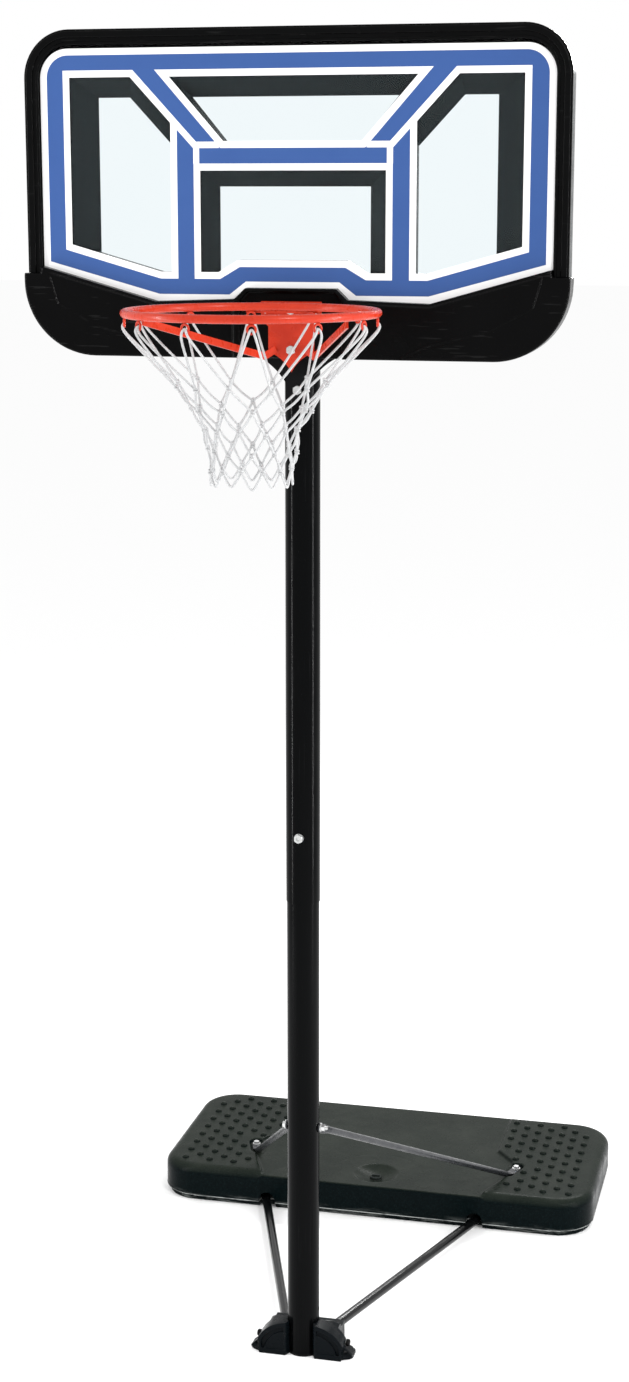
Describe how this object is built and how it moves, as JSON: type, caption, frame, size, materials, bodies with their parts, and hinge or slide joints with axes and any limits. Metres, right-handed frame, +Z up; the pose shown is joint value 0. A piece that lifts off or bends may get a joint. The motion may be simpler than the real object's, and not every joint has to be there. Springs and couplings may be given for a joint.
{
  "type": "portable basketball hoop",
  "caption": "Free-standing hoop: a ballast tank and braced foot hold a telescoping pole with a framed windowed backboard, a bolted ring with side braces and a cord net.",
  "frame": {"origin": "on the floor, on the plane of symmetry, midway between the front of the ring and the back of the tank", "axes": "+Z up along the pole, -Y towards the ring and the player, +X to the right seen from the ring side"},
  "size_m": [1.116, 1.8648, 2.852],
  "materials": {
    "tank_plastic": "grey-green moulded plastic with a fine grain",
    "cap_plastic": "dark moulded plastic",
    "seal_rubber": "soft black rubber",
    "pole_paint": "gloss black powder coat on steel tube",
    "brace_paint": "dark grey coated steel tube",
    "strut_paint": "gloss black coated steel tube",
    "fitting_plastic": "black plastic fittings",
    "foot_plastic": "black moulded plastic",
    "wheel_plastic": "hard black plastic",
    "zinc_steel": "bright zinc plated steel",
    "brass_insert": "turned brass",
    "bracket_paint": "satin black coated steel plate",
    "frame_plastic": "satin black moulded plastic",
    "pad_plastic": "satin black moulded plastic",
    "clear_sheet": "clear polycarbonate",
    "white_ink": "white screen print",
    "blue_ink": "blue screen print",
    "rim_paint": "gloss orange-red powder coat",
    "net_cord": "white braided nylon cord"
  },
  "bodies": {
    "base": {"base_tank": "tank_plastic", "fill_seal": "seal_rubber", "lower_pole": "pole_paint", "lower_pole_plug": "fitting_plastic", "lower_pole_liner": "fitting_plastic", "foot_right": "foot_plastic", "foot_left": "foot_plastic", "foot_clamp_bolt": "zinc_steel", "foot_clamp_nut": "zinc_steel", "wheel_axle": "zinc_steel", "axle_caps": "fitting_plastic", "lower_strut_right": "strut_paint", "lower_strut_left": "strut_paint", "strut_screws": "zinc_steel", "upper_brace_right": "brace_paint", "upper_brace_left": "brace_paint", "brace_pole_bolt": "zinc_steel", "brace_pole_washers": "zinc_steel", "brace_pole_nut": "zinc_steel", "brace_tank_bolts": "zinc_steel", "brace_tank_washers": "zinc_steel", "brace_tank_inserts": "brass_insert"},
    "mast": {"upper_pole": "pole_paint", "upper_pole_cap": "fitting_plastic", "height_bolt": "zinc_steel", "height_washers": "zinc_steel", "height_nut": "zinc_steel", "board_bracket": "bracket_paint", "bracket_bolt": "zinc_steel", "bracket_nut": "zinc_steel", "pole_saddles": "zinc_steel", "backboard_frame": "frame_plastic", "board_sheet": "clear_sheet", "graphic_white": "white_ink", "graphic_blue": "blue_ink", "lower_pad": "pad_plastic", "pad_screws": "zinc_steel", "rim_ring": "rim_paint", "rim_bracket": "rim_paint", "rim_brace_right": "rim_paint", "rim_brace_left": "rim_paint", "rim_bolts": "zinc_steel", "rim_washers": "zinc_steel", "rim_nuts": "zinc_steel", "net_hooks": "rim_paint", "net": "net_cord"},
    "fill_cap": {"fill_cap": "cap_plastic"},
    "wheel_right": {"wheel_right": "wheel_plastic"},
    "wheel_left": {"wheel_left": "wheel_plastic"}
  },
  "joints": [
    {"name": "mast_lift", "type": "slide", "parent": "base", "child": "mast", "axis": [0, 0, 1], "range_m": [0, 0.762]},
    {"name": "fill_cap_lift", "type": "slide", "parent": "base", "child": "fill_cap", "axis": [0, 0, 1], "range_m": [0, 0.06]},
    {"name": "wheel_right_spin", "type": "hinge", "parent": "base", "child": "wheel_right", "pos_m": [0.054, -0.2828, 0.0285], "axis": [1, 0, 0], "continuous": true},
    {"name": "wheel_left_spin", "type": "hinge", "parent": "base", "child": "wheel_left", "pos_m": [-0.054, -0.2828, 0.0285], "axis": [1, 0, 0], "continuous": true}
  ]
}
